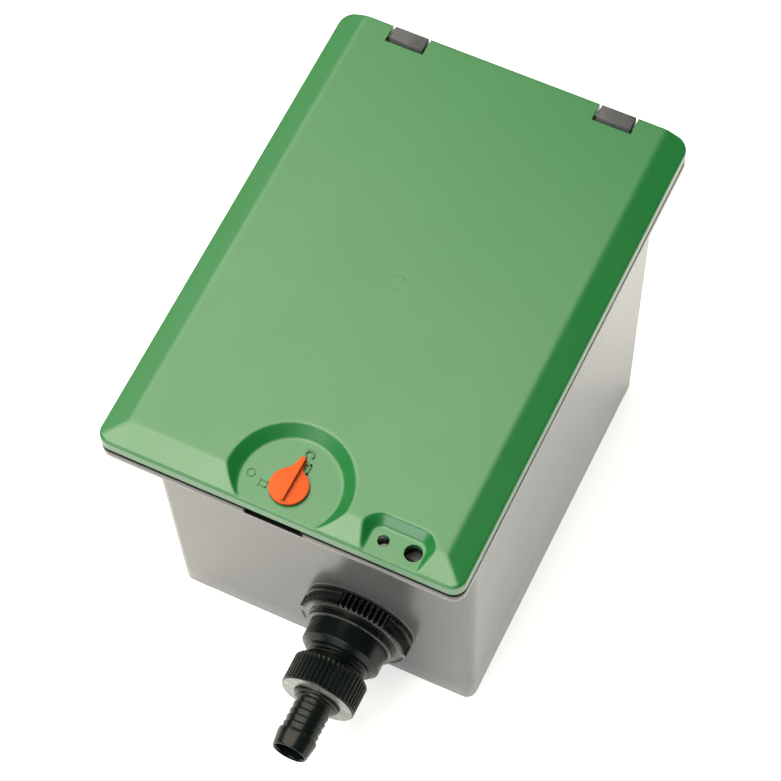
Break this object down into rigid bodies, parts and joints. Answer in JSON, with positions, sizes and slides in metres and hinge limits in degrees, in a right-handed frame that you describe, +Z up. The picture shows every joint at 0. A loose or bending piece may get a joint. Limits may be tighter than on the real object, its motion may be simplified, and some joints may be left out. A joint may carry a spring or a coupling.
{
  "type": "irrigation controller box",
  "caption": "Rectangular ground box with hinged bevelled lid, quarter-turn lock, threaded hose outlet, solenoid valve and battery control module.",
  "frame": {"origin": "centre of the flat underside of the tub, on the ground plane", "axes": "+Z up; the hose tail leaves the front wall towards -Y; the lid's hinges are at +Y; +X is to the right seen from the front"},
  "size_m": [0.19, 0.3197, 0.2146],
  "materials": {
    "tub_grey": "fine grain",
    "lid_green": "fine grain",
    "hinge_grey": "satin",
    "knob_orange": "satin",
    "black_plastic": "satin",
    "black_rubber": "matt",
    "steel": "bright",
    "copper_coil": "enamelled wire",
    "valve_plastic": "fine grain",
    "white_plastic": "satin",
    "module_grey": "fine grain",
    "board_green": "solder mask",
    "display_grey": "glossy",
    "clear_window": "clear",
    "button_green": "matt",
    "battery_case": "satin",
    "cable_black": "satin"
  },
  "bodies": {
    "tub": {"tub": "tub_grey", "rim_seal": "black_rubber", "hinge_block_left": "hinge_grey", "hinge_block_right": "hinge_grey", "hinge_pin_left": "steel", "hinge_pin_right": "steel", "outlet_gasket": "black_rubber", "outlet_sleeve": "black_plastic", "outlet_pipe": "black_plastic", "pipe_o_ring": "black_rubber", "hose_gasket": "black_rubber", "hose_tail": "black_plastic", "inlet_gasket": "black_rubber", "inlet_pipe": "black_plastic", "inlet_strainer": "steel", "valve_body": "valve_plastic", "outlet_washer": "black_rubber", "inlet_washer": "black_rubber", "valve_cradle": "tub_grey", "diaphragm": "black_rubber", "diaphragm_spring": "steel", "bonnet": "valve_plastic", "bonnet_screws": "steel", "core_tube": "white_plastic", "solenoid_housing": "valve_plastic", "solenoid_coil": "copper_coil", "plunger_spring": "steel", "module_bracket": "hinge_grey", "bracket_screws": "steel", "module_housing": "module_grey", "module_seal": "black_rubber", "module_cover": "module_grey", "cover_screws": "steel", "display_window": "clear_window", "display": "display_grey", "circuit_board": "board_green", "battery": "battery_case", "battery_contacts": "steel", "cable_gland": "black_plastic", "solenoid_cable": "cable_black"},
    "lid": {"lid": "lid_green"},
    "lock": {"lock_knob": "knob_orange", "lock_latch": "black_plastic", "latch_screw": "steel", "knob_o_ring": "black_rubber"},
    "lock_ring": {"lock_ring": "black_plastic"},
    "hose_nut": {"hose_nut": "black_plastic"},
    "inlet_lock_nut": {"inlet_lock_nut": "black_plastic"},
    "valve_outlet_nut": {"valve_outlet_nut": "black_plastic"},
    "valve_inlet_nut": {"valve_inlet_nut": "black_plastic"},
    "diaphragm_plate": {"diaphragm_plate": "white_plastic"},
    "plunger": {"plunger": "steel", "plunger_seal": "black_rubber"},
    "bleed_lever": {"bleed_lever": "knob_orange"},
    "button_minus": {"button_minus": "button_green"},
    "button_enter": {"button_enter": "button_green"},
    "button_plus": {"button_plus": "button_green"},
    "battery_cap": {"battery_cap": "black_plastic", "battery_cap_seal": "black_rubber"}
  },
  "joints": [
    {"name": "lid_hinge", "type": "hinge", "parent": "tub", "child": "lid", "pos_m": [0, 0.1294, 0.2095], "axis": [-1, 0, 0], "range_deg": [0, 105]},
    {"name": "lock_turn", "type": "hinge", "parent": "lid", "child": "lock", "pos_m": [0, -0.1185, 0.2096], "axis": [0, 0, 1], "range_deg": [0, 90]},
    {"name": "lock_ring_turn", "type": "hinge", "parent": "tub", "child": "lock_ring", "pos_m": [0.023, -0.12, 0.0525], "axis": [0, 1, 0], "continuous": true},
    {"name": "hose_nut_turn", "type": "hinge", "parent": "tub", "child": "hose_nut", "pos_m": [0.023, -0.12, 0.0525], "axis": [0, 1, 0], "continuous": true},
    {"name": "inlet_lock_nut_turn", "type": "hinge", "parent": "tub", "child": "inlet_lock_nut", "pos_m": [0.023, 0.11, 0.0525], "axis": [0, 1, 0], "continuous": true},
    {"name": "valve_outlet_nut_turn", "type": "hinge", "parent": "tub", "child": "valve_outlet_nut", "pos_m": [0.023, -0.12, 0.0525], "axis": [0, 1, 0], "continuous": true},
    {"name": "valve_inlet_nut_turn", "type": "hinge", "parent": "tub", "child": "valve_inlet_nut", "pos_m": [0.023, 0.11, 0.0525], "axis": [0, 1, 0], "continuous": true},
    {"name": "diaphragm_lift", "type": "slide", "parent": "tub", "child": "diaphragm_plate", "axis": [0, 0, 1], "range_m": [0, 0.005], "stiffness_N_per_m": 400, "springref_m": -0.004, "deforming": ["diaphragm", "diaphragm_spring"]},
    {"name": "plunger_lift", "type": "slide", "parent": "tub", "child": "plunger", "axis": [0, 0, 1], "range_m": [0, 0.0015], "stiffness_N_per_m": 300, "springref_m": -0.003, "deforming": ["plunger_spring"]},
    {"name": "bleed_lever_turn", "type": "hinge", "parent": "tub", "child": "bleed_lever", "pos_m": [0.023, -0.009, 0.0992], "axis": [0, 0, 1], "range_deg": [0, 90]},
    {"name": "button_minus_press", "type": "slide", "parent": "tub", "child": "button_minus", "axis": [0, 0, -1], "range_m": [0, 0.0008], "stiffness_N_per_m": 500, "springref_m": -0.0008},
    {"name": "button_enter_press", "type": "slide", "parent": "tub", "child": "button_enter", "axis": [0, 0, -1], "range_m": [0, 0.0008], "stiffness_N_per_m": 500, "springref_m": -0.0008},
    {"name": "button_plus_press", "type": "slide", "parent": "tub", "child": "button_plus", "axis": [0, 0, -1], "range_m": [0, 0.0008], "stiffness_N_per_m": 500, "springref_m": -0.0008},
    {"name": "battery_cap_turn", "type": "hinge", "parent": "tub", "child": "battery_cap", "pos_m": [-0.05225, -0.022, 0.17], "axis": [0, 0, 1], "range_deg": [0, 60]}
  ]
}
